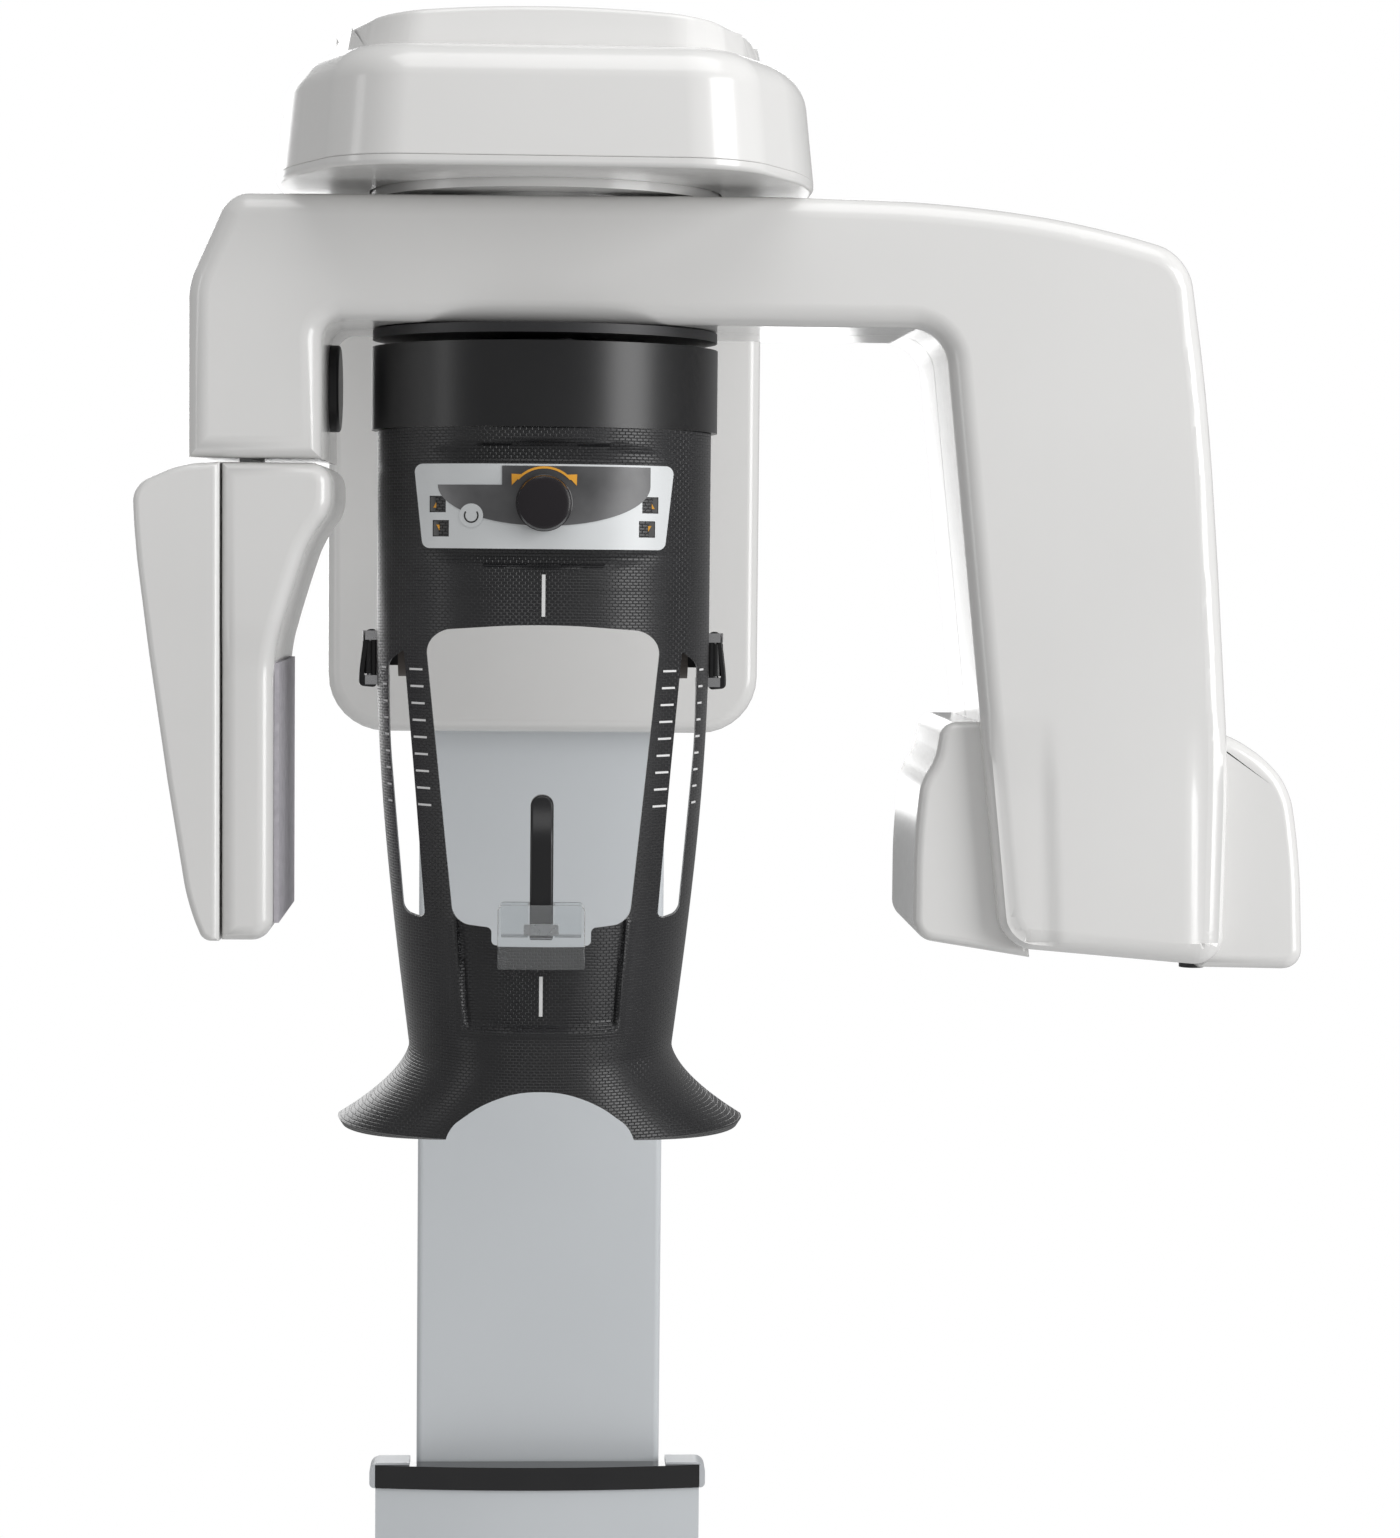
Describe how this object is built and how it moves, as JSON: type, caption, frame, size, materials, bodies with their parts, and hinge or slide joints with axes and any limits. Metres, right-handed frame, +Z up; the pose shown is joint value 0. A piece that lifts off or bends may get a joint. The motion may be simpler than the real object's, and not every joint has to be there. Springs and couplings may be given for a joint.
{
  "type": "panoramic dental x-ray machine",
  "caption": "Standing dental panoramic x-ray machine: lifting column, overhead head, turning arm with sensor and tube heads, and a hanging face frame with bite stick.",
  "frame": {"origin": "on the floor, straight below the axis about which the arm turns", "axes": "+Z up, the operator stands on -Y, the column is at +Y, the tube head at +X at rest"},
  "size_m": [0.8167, 0.912, 2.16],
  "materials": {
    "shell_white": "gloss white moulded cover",
    "column_paint": "satin light grey-blue powder coat",
    "cap_grey": "satin light grey",
    "black_frame": "black with a fine woven emboss",
    "black_smooth": "smooth satin black",
    "label_silver": "printed silver label film",
    "key_grey": "dark grey key caps",
    "clear_plastic": "clear moulded polycarbonate",
    "steel": "machined and plated steel",
    "base_steel": "textured grey powder coat",
    "aluminium": "milled aluminium",
    "bearing": "satin light grey ring",
    "rubber": "black rubber",
    "pad_grey": "brown-grey soft pads",
    "lead_steel": "lead-lined steel tank",
    "tube_glass": "x-ray tube glass",
    "board": "green circuit board",
    "sensor_black": "carbon window"
  },
  "bodies": {
    "stand": {"base_plate": "base_steel", "column_foot": "base_steel", "foot_bolts": "steel", "fixed_column": "column_paint", "fixed_column_cover": "column_paint", "column_band": "black_smooth", "column_end_caps": "cap_grey", "wall_bracket": "base_steel", "guide_rails": "steel", "mains_inlet": "black_smooth", "lift_tube": "steel"},
    "mains_switch": {"power_switch": "black_smooth"},
    "lift": {"lift_rod": "steel", "mobile_column": "column_paint", "slide_pads": "rubber", "head_front_panel": "shell_white", "head_rear_cover": "shell_white", "dome_cover": "shell_white", "dome_lid": "shell_white", "dome_tray": "shell_white", "head_frame": "aluminium", "post_bridge": "steel", "turntable_bearing": "steel", "drive_belt": "rubber", "drive_motor": "black_smooth", "frame_post": "aluminium", "frame_collar": "black_smooth", "patient_frame": "black_frame", "control_label": "label_silver", "bite_holder": "clear_plastic", "temple_pins": "steel"},
    "turntable": {"turntable": "bearing", "shift_rails": "steel"},
    "pinion": {"drive_pinion": "steel"},
    "knob": {"temple_knob": "black_smooth"},
    "temple_left": {"temple_arm_left": "black_smooth", "temple_pad_left": "pad_grey"},
    "temple_right": {"temple_arm_right": "black_smooth", "temple_pad_right": "pad_grey"},
    "key_left_up": {"key_left_up": "key_grey"},
    "key_left_down": {"key_left_down": "key_grey"},
    "key_right_up": {"key_right_up": "key_grey"},
    "key_right_down": {"key_right_down": "key_grey"},
    "bite": {"bite_stick": "black_smooth"},
    "arm": {"arm_front_shell": "shell_white", "arm_rear_shell": "shell_white", "arm_frame": "aluminium", "hub_disc": "black_smooth", "laser_window": "pad_grey", "sensor_outer_casing": "shell_white", "sensor_inner_casing": "shell_white", "sensor_window": "sensor_black", "flat_sensor": "sensor_black", "readout_board": "board", "tube_head_cover_inner": "shell_white", "tube_head_cover_outer": "shell_white", "tube_tank": "lead_steel", "xray_tube": "tube_glass", "aperture_plate": "steel", "tube_head_feet": "rubber"}
  },
  "joints": [
    {"name": "column_lift", "type": "slide", "parent": "stand", "child": "lift", "axis": [0, 0, 1], "range_m": [-0.58, 0.2]},
    {"name": "arm_rotation", "type": "hinge", "parent": "lift", "child": "turntable", "pos_m": [0, 0, 2.04], "axis": [0, 0, 1], "range_deg": [-100, 260]},
    {"name": "arm_shift", "type": "slide", "parent": "turntable", "child": "arm", "axis": [1, 0, 0], "range_m": [-0.015, 0]},
    {"name": "pinion_spin", "type": "hinge", "parent": "lift", "child": "pinion", "pos_m": [0, 0.25, 2.08], "axis": [0, 0, 1], "range_deg": [-440, 1130]},
    {"name": "temple_knob_turn", "type": "hinge", "parent": "lift", "child": "knob", "pos_m": [0, -0.1, 1.861], "axis": [0, 1, 0], "range_deg": [-60, 60]},
    {"name": "temple_left_swing", "type": "hinge", "parent": "lift", "child": "temple_left", "pos_m": [-0.1125, 0.012, 1.76], "axis": [0, 0, 1], "range_deg": [-12, 12]},
    {"name": "temple_right_swing", "type": "hinge", "parent": "lift", "child": "temple_right", "pos_m": [0.1125, 0.012, 1.76], "axis": [0, 0, 1], "range_deg": [-12, 12]},
    {"name": "key_left_up_press", "type": "slide", "parent": "lift", "child": "key_left_up", "axis": [0, 1, 0], "range_m": [0, 0.0008], "stiffness_N_per_m": 600},
    {"name": "key_left_down_press", "type": "slide", "parent": "lift", "child": "key_left_down", "axis": [0, 1, 0], "range_m": [0, 0.0008], "stiffness_N_per_m": 600},
    {"name": "key_right_up_press", "type": "slide", "parent": "lift", "child": "key_right_up", "axis": [0, 1, 0], "range_m": [0, 0.0008], "stiffness_N_per_m": 600},
    {"name": "key_right_down_press", "type": "slide", "parent": "lift", "child": "key_right_down", "axis": [0, 1, 0], "range_m": [0, 0.0008], "stiffness_N_per_m": 600},
    {"name": "bite_lift_out", "type": "slide", "parent": "lift", "child": "bite", "axis": [0, 0, 1], "range_m": [0, 0.06]},
    {"name": "power_switch_rock", "type": "hinge", "parent": "stand", "child": "mains_switch", "pos_m": [0, 0.7255, 0.116], "axis": [1, 0, 0], "range_deg": [-8, 8]}
  ],
  "couplings": [
    {"joint": "pinion_spin", "follows": "arm_rotation", "ratio": 4.3},
    {"joint": "temple_left_swing", "follows": "temple_knob_turn", "ratio": 0.2},
    {"joint": "temple_right_swing", "follows": "temple_knob_turn", "ratio": -0.2}
  ]
}
